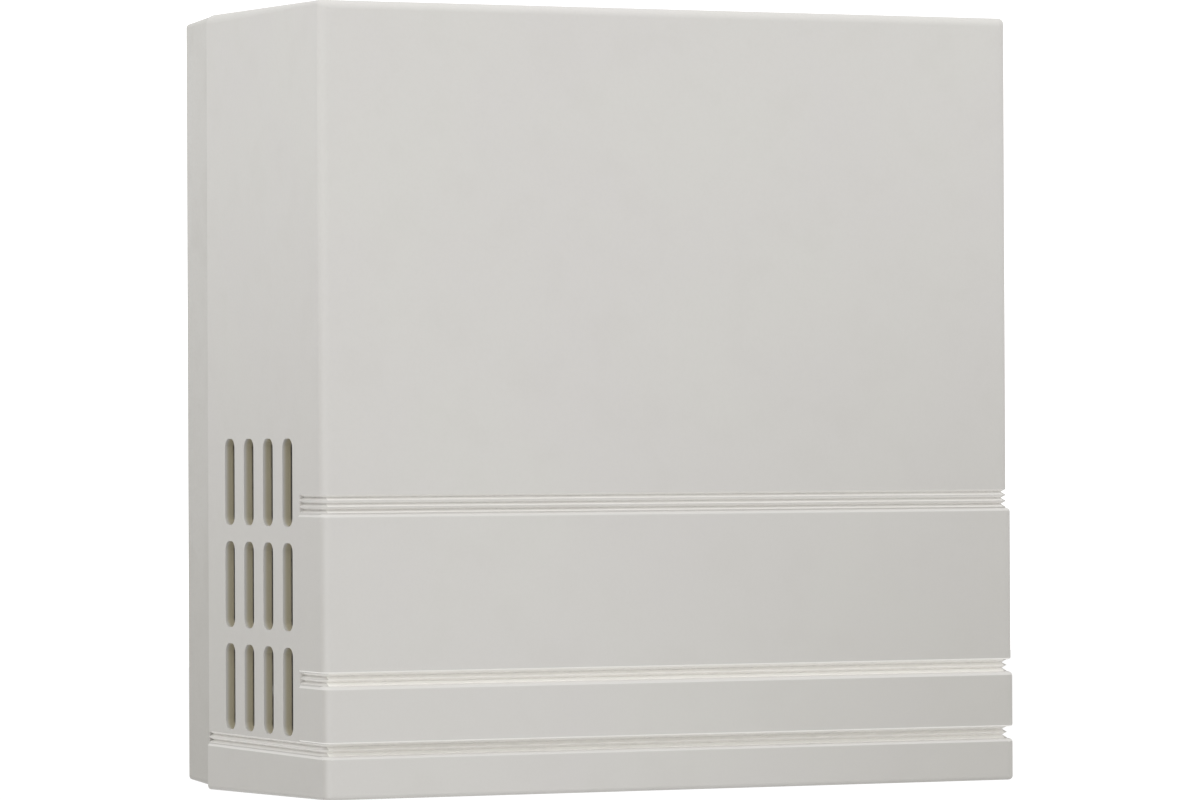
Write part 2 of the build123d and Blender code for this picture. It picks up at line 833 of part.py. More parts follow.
with BuildPart() as bar_retainers:
    for side, pillar_z in pillar_places:
        peg = Plane(origin=(0, -striking_depth, pillar_z), x_dir=(side, 0, 0), z_dir=(0, 0, 1))
        retainer_back = bar_outer + grommet_flange
        retainer_front = retainer_back + retainer_thickness
        bore = peg_radius + fit_clearance
        turned(
            peg,
            [
                (retainer_back, bore),
                (retainer_back, retainer_radius),
                (retainer_front, retainer_radius),
                (retainer_front + retainer_crown, (retainer_radius + bore) / 2),
                (retainer_front + retainer_crown, bore),
            ],
        )
bar_retainers.part.label = "bar_retainers"

# Terminal block
terminal_xs = [terminal_pitch * (i - (terminal_count - 1) / 2) for i in range(terminal_count)]
with BuildPart() as terminal_block:
    with BuildSketch(Plane.XZ.offset(block_back)):
        with Locations((0, terminal_z)):
            Rectangle(block_width, block_height)
    extrude(amount=block_ear_thickness)
    core_width = terminal_count * terminal_pitch + barrier_wall
    with BuildSketch(Plane.XZ.offset(ear_front)):
        with Locations((0, terminal_z)):
            Rectangle(core_width, block_height)
    extrude(amount=block_front - ear_front)
    with BuildSketch(Plane.XZ.offset(block_front)):
        with Locations((0, terminal_z)):
            with GridLocations(terminal_pitch, 0, terminal_count + 1, 1):
                Rectangle(barrier_wall, block_height)
    extrude(amount=barrier_height)
    with BuildSketch(Plane.XZ.offset(block_front)):
        with Locations((0, terminal_z - terminal_screw_drop)):
            with GridLocations(terminal_pitch, 0, terminal_count, 1):
                Circle(terminal_screw_radius + fit_clearance)
    extrude(amount=-terminal_screw_length, mode=Mode.SUBTRACT)
    with BuildSketch(Plane.XZ.offset(block_back)):
        with Locations((0, terminal_z)):
            with GridLocations(block_screw_pitch, 0, 2, 1):
                Circle(screw_hole_radius)
    extrude(amount=block_ear_thickness, mode=Mode.SUBTRACT)
terminal_block.part.label = "terminal_block"

with BuildPart() as terminal_plates:
    for terminal_x in terminal_xs:
        plate_low = terminal_z - block_height / 2 + plate_margin
        with BuildSketch(Plane.YZ.offset(terminal_x)):
            with BuildLine():
                Polyline(
                    (-block_front, plate_low),
                    (-plate_front, plate_low),
                    (-plate_front, tag_z),
                    (-plate_front - tag_height, tag_z),
                    (-plate_front - tag_height, tag_z + plate_metal),
                    (-block_front, tag_z + plate_metal),
                    close=True,
                )
            make_face()
        extrude(amount=plate_width / 2, both=True)
    with BuildSketch(Plane.XZ.offset(block_front)):
        with Locations((0, terminal_z - terminal_screw_drop)):
            with GridLocations(terminal_pitch, 0, terminal_count, 1):
                Circle(screw_hole_radius)
    extrude(amount=plate_metal, mode=Mode.SUBTRACT)
terminal_plates.part.label = "terminal_plates"

with BuildPart() as terminal_screws:
    for terminal_x in terminal_xs:
        seat = Plane.XZ.offset(plate_front)
        seat.origin += Vector(terminal_x, 0, terminal_z - terminal_screw_drop)
        pan_head_screw(seat, terminal_screw_radius, terminal_screw_length)
terminal_screws.part.label = "terminal_screws"

with BuildPart() as terminal_block_screws:
    for side in (-1, 1):
        seat = Plane.XZ.offset(ear_front)
        seat.origin += Vector(side * block_screw_pitch / 2, 0, terminal_z)
        pan_head_screw(seat, chassis_screw_radius, block_ear_thickness + block_seat_height - overrun)
terminal_block_screws.part.label = "terminal_block_screws"

# Coil leads: one of each coil goes to its own terminal and one to the shared middle one
lead_parts = []
for coil_name, coil_z in coil_heights.items():
    side = lug_sides[coil_name]
    ends = (side * terminal_pitch, side * shared_tag_offset)
    with BuildPart() as leads:
        expected = 0.0
        for offset, end_x in zip(lead_offsets, ends):
            expected += tube(lead_line(side * offset, end_x, coil_z), lead_radius, lead_sides)
    print(coil_name, "leads volume over section times length", round(leads.part.volume / expected, 4))
    leads.part.label = f"{coil_name}_coil_leads"
    lead_parts.append(leads.part)

os.makedirs("parts", exist_ok=True)
finished = [
    cover.part,
    base_pan.part,
    solenoid_chassis.part,
    chassis_screws.part,
    rear_bumper.part,
    bar_grommets.part,
    bar_retainers.part,
    terminal_block.part,
    terminal_plates.part,
    terminal_screws.part,
    terminal_block_screws.part,
    *coil_parts,
    *bar_parts,
    *lead_parts,
]
for piece in finished:
    export_step(piece, f"parts/{piece.label}.step")
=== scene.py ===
"""Doorbell chime box: the studio, the finishes and the detailed pieces of the visual model."""

import logging
from dataclasses import dataclass, field
from enum import Enum
from math import atan2, cos, pi, radians, sin
from typing import Any, Callable

import bpy
from mathutils import Matrix, Vector


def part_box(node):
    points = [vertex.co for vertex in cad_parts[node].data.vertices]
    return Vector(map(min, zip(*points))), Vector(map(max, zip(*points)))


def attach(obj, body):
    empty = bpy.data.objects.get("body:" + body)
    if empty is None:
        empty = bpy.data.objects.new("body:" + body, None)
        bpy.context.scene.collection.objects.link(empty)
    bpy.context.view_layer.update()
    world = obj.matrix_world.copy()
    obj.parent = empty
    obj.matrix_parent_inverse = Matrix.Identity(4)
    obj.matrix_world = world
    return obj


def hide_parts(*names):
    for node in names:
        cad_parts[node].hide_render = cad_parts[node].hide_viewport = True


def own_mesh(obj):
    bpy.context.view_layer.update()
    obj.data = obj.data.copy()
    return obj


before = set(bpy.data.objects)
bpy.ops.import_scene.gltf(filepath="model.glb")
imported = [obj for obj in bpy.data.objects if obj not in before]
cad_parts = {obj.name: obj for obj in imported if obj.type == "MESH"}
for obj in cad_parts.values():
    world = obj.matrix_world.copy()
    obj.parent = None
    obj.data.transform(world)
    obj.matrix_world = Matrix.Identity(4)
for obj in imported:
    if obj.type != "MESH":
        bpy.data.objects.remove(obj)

LOG = logging.getLogger("chime_scene")
PAN = "pan"
COILS = ("front", "rear")
Triple = tuple[float, float, float]
Range = tuple[float, float]
Piece = bpy.types.Object

# The square of a normal's component along an axis: a face below the first value is square to
# the axis, and one above the second faces along it
FACING: Range = (0.2, 0.9)
# The sockets of a colour mix, whose names are shared with other kinds of mix
MIX_FACTOR, MIX_FIRST, MIX_SECOND, MIX_RESULT = 0, 6, 7, 2
NOISE_MIDDLE = 0.5
# How many times longer a knife is than what it cuts
KNIFE_REACH = 3.0
# The share of a size beyond which an edge counts as being at its end
NEAR_END = 0.9
SOFT_STEPS = 2
ROUND_STEPS = 6
CYLINDER_SIDES = 48
SHARP_ANGLE = radians(40.0)
SMOOTH_ANGLE = radians(32.0)


def operator(operation: str, reflected: bool = False) -> Callable[["Signal", Any], "Signal"]:
    """Make the method that stands for an operator.

    Args:
        operation: The name of the sum.
        reflected: Whether the signal is the second value.

    Returns:
        The method.
    """

    def method(signal: "Signal", other: Any) -> "Signal":
        """Combine a signal with another value.

        Args:
            signal: The signal.
            other: A signal or number.

        Returns:
            The result.
        """
        first, second = (other, signal) if reflected else (signal, other)
        return signal.maths(operation, first, second)

    return method


class Signal:
    """A shader socket that takes part in sums, so that shader maths reads as maths."""

    def __init__(self, shader: "Shader", socket: bpy.types.NodeSocket | None) -> None:
        """Wrap a socket.

        Args:
            shader: The shader that holds the socket's node.
            socket: An output socket, or None where the node has none.
        """
        self.shader = shader
        self.socket = socket

    def maths(self, operation: str, first: Any, second: Any) -> "Signal":
        """Combine two values.

        Args:
            operation: The name of the sum.
            first: A signal or number.
            second: A signal or number.

        Returns:
            The result.
        """
        return self.shader.node("ShaderNodeMath", {"operation": operation}, {0: first, 1: second})

    __add__ = operator("ADD")
    __radd__ = operator("ADD", reflected=True)
    __sub__ = operator("SUBTRACT")
    __rsub__ = operator("SUBTRACT", reflected=True)
    __mul__ = operator("MULTIPLY")
    __rmul__ = operator("MULTIPLY", reflected=True)

    def sine(self) -> "Signal":
        """Return the sine of this.

        Returns:
            The sine.
        """
        return self.maths("SINE", self, 0.0)

    def size(self) -> "Signal":
        """Return this without its sign.

        Returns:
            The size.
        """
        return self.maths("ABSOLUTE", self, 0.0)

    def step(self, low: float, high: float) -> "Signal":
        """Rise softly from 0 to 1 as this goes from low to high.

        Args:
            low: Where the result is 0.
            high: Where the result is 1.

        Returns:
            The softened step.
        """
        settings = {"interpolation_type": "SMOOTHSTEP"}
        sockets = {"Value": self, "From Min": low, "From Max": high}
        return self.shader.node("ShaderNodeMapRange", settings, sockets)

    def within(self, low: float, high: float, fade: float) -> "Signal":
        """Pick a range of this.

        Args:
            low: Where the range starts.
            high: Where the range ends.
            fade: The width of each soft end, inside the range.

        Returns:
            1 in the range and 0 outside it.
        """
        return (self - low).step(0.0, fade) * (high - self).step(0.0, fade)


class Shader:
    """The node tree of one material or world."""

    def __init__(self, tree: bpy.types.NodeTree) -> None:
        """Take a tree and empty it.

        Args:
            tree: The tree.
        """
        self.tree = tree
        tree.nodes.clear()

    def node(
        self, kind: str, settings: dict[str, Any], sockets: dict[Any, Any], out: Any = 0
    ) -> Signal:
        """Add one node.

        Args:
            kind: The node's type.
            settings: Attributes, which are set first.
            sockets: Inputs by name or place, each a signal or a constant.
            out: The output to return.

        Returns:
            The signal of that output.
        """
        made = self.tree.nodes.new(kind)
        for name, value in settings.items():
            setattr(made, name, value)
        for name, value in sockets.items():
            if isinstance(value, Signal):
                self.tree.links.new(value.socket, made.inputs[name])
            else:
                made.inputs[name].default_value = value
        return Signal(self, made.outputs[out] if len(made.outputs) else None)

    def place(self) -> Signal:
        """Return the object's own coordinates, in metres.

        Returns:
            The coordinates.
        """
        return self.node("ShaderNodeTexCoord", {}, {}, "Object")

    def axis(self, vector: Signal, name: str) -> Signal:
        """Return one component of a vector.

        Args:
            vector: The vector.
            name: X, Y or Z.

        Returns:
            The component.
        """
        return self.node("ShaderNodeSeparateXYZ", {}, {0: vector}, name)

    def facing(self, normal: Signal, name: str) -> Signal:
        """Pick the faces that look along an axis, either way.

        Args:
            normal: The surface's normal.
            name: X, Y or Z.

        Returns:
            1 on those faces and 0 on faces square to them.
        """
        along = self.axis(normal, name)
        return (along * along).step(*FACING)

    def scaled(self, place: Signal, scale: Triple) -> Signal:
        """Stretch coordinates.

        Args:
            place: The coordinates.
            scale: The factor along each axis.

        Returns:
            The stretched coordinates.
        """
        sockets = {"Vector": place, "Scale": scale}
        return self.node("ShaderNodeMapping", {"vector_type": "POINT"}, sockets)

    def noise(self, place: Signal, scale: float, detail: float, twist: float = 0.0) -> Signal:
        """Return soft noise around 0.5.

        Args:
            place: Coordinates.
            scale: Lumps per metre.
            detail: Layers of finer noise.
            twist: How far the noise distorts itself.

        Returns:
            The noise value.
        """
        sockets = {"Vector": place, "Scale": scale, "Detail": detail, "Distortion": twist}
        return self.node("ShaderNodeTexNoise", {}, sockets)

    def cells(self, place: Signal, scale: float) -> Signal:
        """Return the distance to the nearest of scattered points.

        Args:
            place: Coordinates.
            scale: Points per metre.

        Returns:
            The distance, in parts of a cell.
        """
        sockets = {"Vector": place, "Scale": scale}
        return self.node("ShaderNodeTexVoronoi", {"feature": "F1"}, sockets, "Distance")

    def blend(self, factor: Any, first: Any, second: Any) -> Signal:
        """Mix two colours.

        Args:
            factor: How much of the second colour is used.
            first: A colour or signal.
            second: A colour or signal.

        Returns:
            The mixed colour.
        """
        pair = [(*color, 1.0) if isinstance(color, tuple) else color for color in (first, second)]
        settings = {"data_type": "RGBA", "clamp_factor": True}
        sockets = {MIX_FACTOR: factor, MIX_FIRST: pair[0], MIX_SECOND: pair[1]}
        return self.node("ShaderNodeMix", settings, sockets, MIX_RESULT)


class Pattern(Enum):
    """What is wound round a surface, which decides its marks."""

    PLAIN = "plain"
    WOUND = "wound"
    TAPED = "taped"


@dataclass(frozen=True)
class Spot:
    """What a tint may look at: object coordinates and the surface's normal."""

    shader: Shader
    place: Signal
    normal: Signal

    def at(self, name: str) -> Signal:
        """Return one of the object coordinates.

        Args:
            name: X, Y or Z.

        Returns:
            The coordinate.
        """
        return self.shader.axis(self.place, name)


@dataclass(frozen=True)
class Tint:
    """A change of colour over one region of a housing piece, with its places in metres."""

    def apply(self, spot: Spot, color: Signal) -> Signal:
        """Colour the region.

        Args:
            spot: Where the surface is and what it faces.
            color: The colour so far.

        Returns:
            The colour.
        """
        raise NotImplementedError


@dataclass(frozen=True)
class PaintedFootShade(Tint):
    """Painted shade: the darkening of the lower sides and of the lower right of the front, towards
    the foot.
    """

    strength: float
    # the colour of the painted shade
    color: Triple = (0.36, 0.345, 0.315)
    foot: float = -0.12
    top: float = 0.10
    left: float = -0.06
    right: float = 0.13
    side_share: float = 0.5
    front_share: float = 0.13
    corner_share: float = 0.38

    def apply(self, spot: Spot, color: Signal) -> Signal:
        """Darken the plastic's colour towards the foot: painted shade.

        Args:
            spot: Where the surface is and what it faces.
            color: The colour so far.

        Returns:
            The colour.
        """
        # painted shade: darker towards the foot, on the sides and towards the right of the front
        low = 1.0 - spot.at("Z").step(self.foot, self.top)
        side = spot.shader.facing(spot.normal, "X")
        corner = spot.at("X").step(self.left, self.right) * self.corner_share
        share = side * self.side_share + (1.0 - side) * (corner + self.front_share)
        return spot.shader.blend(low * share * self.strength, color, self.color)


@dataclass(frozen=True)
class PaintedGrooveLight(Tint):
    """Painted light: the grooves, the edges of the bands and the floors between them are coloured
    paler than the faces, to lift the shade that falls there.
    """

    # paler colours that stand in for light in the grooves and recesses: painted light
    top_color: Triple = (0.83, 0.815, 0.785)
    foot_color: Triple = (0.95, 0.935, 0.90)
    ledge_color: Triple = (0.66, 0.645, 0.62)
    top: float = -0.015
    middle: float = -0.045
    long_top: float = -0.0812
    foot: float = -0.0915
    wrap: float = -0.0786
    panel: float = -0.0927
    recess: float = -0.0938
    recess_top: float = -0.06
    inner: float = -0.0908
    half_width: float = 0.0905
    fade: float = 0.0002
    upright: float = 0.2
    sloping: float = 0.4
    lying: float = 0.93
    level: float = 0.99

    def _flank(self, spot: Spot, slope: Signal) -> Signal:
        """Pick the sloping faces between the bands.

        Args:
            spot: Where the surface is and what it faces.
            slope: The upward part of the normal.

        Returns:
            1 on those faces and 0 elsewhere.
        """
        steep = slope.size()
        flank = steep.step(self.upright, self.sloping) * (1.0 - steep.step(self.lying, self.level))
        height = spot.at("Z")
        ahead = 1.0 - spot.at("Y").step(self.wrap, self.wrap + self.fade)
        wrapped = height.within(self.long_top, self.top, self.fade) * ahead
        return flank * (wrapped + height.within(self.foot, self.long_top, self.fade))

    def _sunk(self, spot: Spot, upper: Signal) -> Signal:
        """Pick what lies behind the faces of the front, in the grooves and between the bands.

        Args:
            spot: Where the surface is and what it faces.
            upper: 1 above the upper band and 0 below it.

        Returns:
            1 in there and 0 elsewhere.
        """
        depth = spot.at("Y")
        surface = upper * (self.panel - self.recess) + self.recess
        sunk = (depth - surface).step(0.0, self.fade) * (self.inner - depth).step(0.0, self.fade)
        return sunk * (self.half_width - spot.at("X").size()).step(0.0, self.fade)

    def apply(self, spot: Spot, color: Signal) -> Signal:
        """Paint light into the grooves, onto the edges of the bands and onto the floors between
        them.

        Args:
            spot: Where the surface is and what it faces.
            color: The colour so far.

        Returns:
            The colour.
        """
        shader = spot.shader
        height = spot.at("Z")
        slope = shader.axis(spot.normal, "Z")
        flank = self._flank(spot, slope)
        upper = height.step(self.middle, self.middle + self.fade)
        sunk = self._sunk(spot, upper)
        # painted light: the flanks between the bands take a paler colour than the faces
        grooved = shader.blend(upper, self.foot_color, self.top_color)
        pale = shader.blend(flank, color, grooved)
        ledge = flank * slope.step(0.0, self.upright) * (1.0 - sunk)
        pale = shader.blend(ledge, pale, self.ledge_color)
        # painted light: the sunk floors between the bands are coloured paler as well
        floors = sunk * height.within(self.foot, self.recess_top, self.fade)
        return shader.blend(floors, pale, self.foot_color)


@dataclass(frozen=True)
class PaintedSlotShade(Tint):
    """Painted shade: the cut edges of the slots, which lie behind the side's outer face, coloured a
    dark olive.
    """

    # a dark olive that stands in for the shade inside the slots
    color: Triple = (0.48, 0.43, 0.292)
    share: float = 0.9
    front: float = -0.0925
    half_width: float = 0.092
    flare: float = 0.01746
    shallow: float = 0.0001
    deep: float = 0.0012
    ahead: float = -0.0765
    behind: float = -0.027
    foot: float = -0.0812
    top: float = -0.0085
    fade: float = 0.0002

    def apply(self, spot: Spot, color: Signal) -> Signal:
        """Paint olive shade onto the cut edges.

        Args:
            spot: Where the surface is and what it faces.
            color: The colour so far.

        Returns:
            The colour.
        """
        back = spot.at("Y")
        grown = (back - self.front) * self.flare
        inside = self.half_width + grown - spot.at("X").size()
        edge = inside.step(self.shallow, self.deep) * (1.0 - spot.shader.facing(spot.normal, "X"))
        edge = edge * back.within(self.ahead, self.behind, self.fade)
        edge = edge * spot.at("Z").within(self.foot, self.top, self.fade)
        # painted shade: the cut edges take the dark olive colour
        return spot.shader.blend(edge * self.share, color, self.color)


@dataclass(frozen=True)
class Weathering:
    """How every finish turns noise into mottle, patches, specks, pits, scratches and dust."""

    mottle: Range = (0.3, 0.7)
    mottle_detail: float = 3.0
    mottle_twist: float = 0.4
    grain_detail: float = 3.0
    grain_height: float = 0.6
    patch: Range = (0.46, 0.72)
    patch_scale: float = 4.0
    patch_detail: float = 4.0
    patch_share: float = 0.35
    speck: Range = (0.35, 0.75)
    speck_share: float = 0.25
    pit: Range = (0.04, 0.16)
    pit_scale: float = 0.35
    pit_depth: float = 0.25
    scratch: Range = (0.685, 0.70)
    scratch_scales: Triple = (9.0, 1.1, 2.3)
    scratch_detail: float = 1.0
    scratch_twist: float = 1.4
    scratch_depth: float = 0.5
    dust_slope: Range = (0.55, 0.98)
    dust_patch: Range = (0.25, 0.6)
    dust_color: Triple = (0.5, 0.48, 0.44)
    rough_spread: float = 0.16
    rough_grain: float = 0.12
    rough_wear: float = 0.12
    rough_scratch: float = 0.1
    bump_strength: float = 0.6


@dataclass(frozen=True)
class WindingMarks:
    """The relief and shade of wire turns and of the edges of wound tape."""

    wire: Range = (-1.0, 0.2)
    wire_height: float = 1.6
    tape: Range = (0.88, 0.96)
    tape_slant: float = 0.12
    tape_shade: float = 0.45
    tape_height: float = 1.5


WEAR = Weathering()
MARKS = WindingMarks()


@dataclass(frozen=True)
class Finish:
    """One finish, with its colour, wear and relief.

    Scales are in lumps per metre and lengths in metres.
    """

    name: str
    color: Triple
    shade: Triple
    # the colour of dirty patches and specks, also used as painted shade between wire turns and
    # along tape edges
    grime_and_shade: Triple
    rough: float
    slot: str
    metallic: float = 0.0
    pattern: Pattern = Pattern.PLAIN
    stretch: Triple = (1.0, 1.0, 1.0)
    mottle: float = 22.0
    grain: float = 1400.0
    relief: float = 0.00003
    wear: float = 0.3
    pitch: float = 0.00035
    gloss: float = 0.5
    dust: float = 0.2
    tints: tuple[Tint, ...] = ()

    def _worn_color(self, shader: Shader, broad: Signal, fine: Signal, patch: Signal) -> Signal:
        """Colour the surface with its mottle, dirt patches and specks, its tints, which hold
        painted shade and painted light, and the dust on what faces up.

        Args:
            shader: The shader.
            broad: Broad noise.
            fine: Fine noise.
            patch: Patches of wear.

        Returns:
            The colour.
        """
        color = shader.blend(broad.step(*WEAR.mottle), self.color, self.shade)
        color = shader.blend(patch * (WEAR.patch_share * self.wear), color, self.grime_and_shade)
        specks = fine.step(*WEAR.speck) * (WEAR.speck_share * self.wear)
        color = shader.blend(specks, color, self.grime_and_shade)
        normal = shader.node("ShaderNodeNewGeometry", {}, {}, "Normal")
        spot = Spot(shader, shader.place(), normal)
        # the tints paint shade and light into the housing's colour
        for tint in self.tints:
            color = tint.apply(spot, color)
        lying = shader.axis(normal, "Z").step(*WEAR.dust_slope) * broad.step(*WEAR.dust_patch)
        return shader.blend(lying * self.dust, color, WEAR.dust_color)

    def _wound(
        self, shader: Shader, place: Signal, color: Signal, relief: Signal
    ) -> tuple[Signal, Signal]:
        """Add the marks of what is wound round the surface, with painted shade in the valleys
        between wire turns and along the tape's edges.

        Args:
            shader: The shader.
            place: Object coordinates.
            color: The colour so far.
            relief: The relief so far.

        Returns:
            The colour and the relief.
        """
        across = shader.axis(place, "X")
        if self.pattern is Pattern.WOUND:
            turns = (across * (2 * pi / self.pitch)).sine()
            # painted shade: the valleys between the wire turns take the dark colour
            color = shader.blend(turns.step(*MARKS.wire), self.grime_and_shade, color)
            relief = relief + turns * MARKS.wire_height
        if self.pattern is Pattern.TAPED:
            slanted = across + shader.axis(place, "Y") * MARKS.tape_slant
            edges = (slanted * (2 * pi / self.pitch)).sine().step(*MARKS.tape)
            # painted shade: the tape's raised edges darken towards the dark colour
            color = shader.blend(edges * MARKS.tape_shade, color, self.grime_and_shade)
            relief = relief + edges * MARKS.tape_height
        return color, relief

    def material(self) -> bpy.types.Material:
        """Build the finish's material.

        Returns:
            The material.
        """
        made = bpy.data.materials.new(self.name)
        made.use_nodes = True
        shader = Shader(made.node_tree)
        place = shader.place()
        broad = shader.noise(place, self.mottle, WEAR.mottle_detail, WEAR.mottle_twist)
        fine = shader.noise(shader.scaled(place, self.stretch), self.grain, WEAR.grain_detail)
        patch = shader.noise(place, self.mottle * WEAR.patch_scale, WEAR.patch_detail)
        patch = patch.step(*WEAR.patch)
        pits = 1.0 - shader.cells(place, self.grain * WEAR.pit_scale).step(*WEAR.pit)
        scored = shader.scaled(place, tuple(self.mottle * scale for scale in WEAR.scratch_scales))
        scored = shader.noise(scored, 1.0, WEAR.scratch_detail, WEAR.scratch_twist)
        scratches = scored.step(*WEAR.scratch)
        color = self._worn_color(shader, broad, fine, patch)
        relief = fine * WEAR.grain_height - pits * WEAR.pit_depth
        relief = relief - scratches * (WEAR.scratch_depth * self.wear)
        color, relief = self._wound(shader, place, color, relief)
        rough = self.rough + (broad - NOISE_MIDDLE) * WEAR.rough_spread
        rough = rough + (fine - NOISE_MIDDLE) * WEAR.rough_grain
        rough = rough + patch * (WEAR.rough_wear * self.wear)
        rough = rough + scratches * (WEAR.rough_scratch * self.wear)
        bump = {"Strength": WEAR.bump_strength, "Distance": self.relief, "Height": relief}
        sockets = {
            "Base Color": color,
            "Roughness": rough,
            "Metallic": self.metallic,
            "Specular IOR Level": self.gloss,
            "Normal": shader.node("ShaderNodeBump", {}, bump),
        }
        surface = shader.node("ShaderNodeBsdfPrincipled", {}, sockets)
        shader.node("ShaderNodeOutputMaterial", {}, {"Surface": surface})
        LOG.info("finish %s", self.name)
        return made


COVER_PLASTIC = Finish(
    name="cover plastic",
    color=(0.647, 0.631, 0.610),
    shade=(0.652, 0.641, 0.612),
    grime_and_shade=(0.56, 0.545, 0.51),
    rough=0.48,
    slot="housing_plastic",
    gloss=0.3,
    dust=0.06,
    relief=0.00002,
    # tints: painted shade towards the foot, painted light in the grooves, painted shade on the
    # slots' cut edges
    tints=(PaintedFootShade(1.0), PaintedGrooveLight(), PaintedSlotShade()),
)
PAN_PLASTIC = Finish(
    name="pan plastic",
    color=(0.632, 0.621, 0.594),
    shade=(0.615, 0.604, 0.575),
    grime_and_shade=(0.47, 0.455, 0.42),
    rough=0.52,
    slot="housing_plastic",
    gloss=0.3,
    wear=0.45,
    # tint: painted shade towards the foot
    tints=(PaintedFootShade(1.4),),
)
CHASSIS_STEEL = Finish(
    name="zinc plated chassis steel",
    color=(0.60, 0.61, 0.62),
    shade=(0.50, 0.515, 0.53),
    grime_and_shade=(0.36, 0.35, 0.33),
    rough=0.36,
    slot="chassis_steel",
    metallic=1.0,
    stretch=(1.0, 1.0, 0.04),
    grain=3600.0,
    mottle=60.0,
    relief=0.000015,
    wear=0.5,
)
SCREW_STEEL = Finish(
    name="bright screw steel",
    color=(0.66, 0.66, 0.645),
    shade=(0.56, 0.555, 0.53),
    grime_and_shade=(0.30, 0.27, 0.22),
    rough=0.30,
    slot="screw_steel",
    metallic=1.0,
    mottle=260.0,
    grain=5200.0,
    relief=0.00001,
    wear=0.5,
)
NYLON = Finish(
    name="natural nylon",
    color=(0.74, 0.715, 0.63),
    shade=(0.69, 0.66, 0.56),
    grime_and_shade=(0.42, 0.38, 0.29),
    rough=0.40,
    slot="nylon",
    mottle=90.0,
    grain=2600.0,
    relief=0.00002,
)
COPPER = Finish(
    name="enamelled copper wire",
    color=(0.66, 0.27, 0.11),
    shade=(0.56, 0.21, 0.08),
    grime_and_shade=(0.16, 0.055, 0.025),
    rough=0.30,
    slot="copper_wire",
    metallic=0.85,
    pattern=Pattern.WOUND,
    mottle=160.0,
    grain=3000.0,
    relief=0.00006,
    pitch=0.00036,
)
TAPE = Finish(
    name="amber coil tape",
    color=(0.52, 0.36, 0.10),
    shade=(0.44, 0.29, 0.075),
    grime_and_shade=(0.21, 0.13, 0.04),
    rough=0.33,
    slot="coil_tape",
    pattern=Pattern.TAPED,
    mottle=70.0,
    grain=1900.0,
    relief=0.00008,
    pitch=0.0075,
)
CORE_STEEL = Finish(
    name="turned soft iron",
    color=(0.50, 0.50, 0.505),
    shade=(0.42, 0.415, 0.41),
    grime_and_shade=(0.22, 0.18, 0.14),
    rough=0.34,
    slot="core_steel",
    metallic=1.0,
    stretch=(1.0, 0.02, 0.02),
    mottle=120.0,
    grain=5200.0,
    relief=0.00002,
    wear=0.5,
)
SPRING_STEEL = Finish(
    name="spring steel",
    color=(0.56, 0.555, 0.54),
    shade=(0.46, 0.45, 0.43),
    grime_and_shade=(0.24, 0.20, 0.15),
    rough=0.27,
    slot="spring_steel",
    metallic=1.0,
    mottle=300.0,
    grain=6500.0,
    relief=0.000008,
)
RUBBER = Finish(
    name="black rubber",
    color=(0.033, 0.033, 0.035),
    shade=(0.045, 0.045, 0.046),
    grime_and_shade=(0.10, 0.095, 0.088),
    rough=0.72,
    slot="black_rubber",
    mottle=110.0,
    grain=2400.0,
    relief=0.00005,
    gloss=0.35,
    wear=0.6,
)
BAR_STEEL = Finish(
    name="drawn tone bar steel",
    color=(0.63, 0.632, 0.63),
    shade=(0.54, 0.545, 0.55),
    grime_and_shade=(0.31, 0.27, 0.22),
    rough=0.29,
    slot="bar_steel",
    metallic=1.0,
    stretch=(1.0, 1.0, 0.02),
    mottle=45.0,
    grain=4800.0,
    relief=0.000014,
    wear=0.55,
)
BLOCK_PLASTIC = Finish(
    name="brown phenolic",
    color=(0.052, 0.034, 0.024),
    shade=(0.068, 0.043, 0.028),
    grime_and_shade=(0.15, 0.13, 0.11),
    rough=0.42,
    slot="block_plastic",
    mottle=130.0,
    grain=2800.0,
    relief=0.00003,
    gloss=0.45,
)
BRASS = Finish(
    name="terminal brass",
    color=(0.72, 0.50, 0.22),
    shade=(0.62, 0.41, 0.16),
    grime_and_shade=(0.27, 0.16, 0.07),
    rough=0.31,
    slot="terminal_brass",
    metallic=1.0,
    mottle=200.0,
    grain=4600.0,
    relief=0.00001,
    wear=0.5,
)
RED_LEAD = Finish(
    name="red lead cover",
    color=(0.40, 0.030, 0.022),
    shade=(0.33, 0.024, 0.018),
    grime_and_shade=(0.12, 0.03, 0.022),
    rough=0.45,
    slot="lead_insulation",
    mottle=150.0,
    grain=3800.0,
)
WHITE_LEAD = Finish(
    name="white lead cover",
    color=(0.66, 0.655, 0.62),
    shade=(0.58, 0.57, 0.53),
    grime_and_shade=(0.34, 0.31, 0.26),
    rough=0.45,
    slot="lead_insulation",
    mottle=150.0,
    grain=3800.0,
)
SOLDER = Finish(
    name="dull solder",
    color=(0.60, 0.60, 0.61),
    shade=(0.48, 0.48, 0.49),
    grime_and_shade=(0.24, 0.22, 0.19),
    rough=0.36,
    slot="screw_steel",
    metallic=1.0,
    mottle=420.0,
    grain=3800.0,
    relief=0.00003,
    wear=0.5,
)

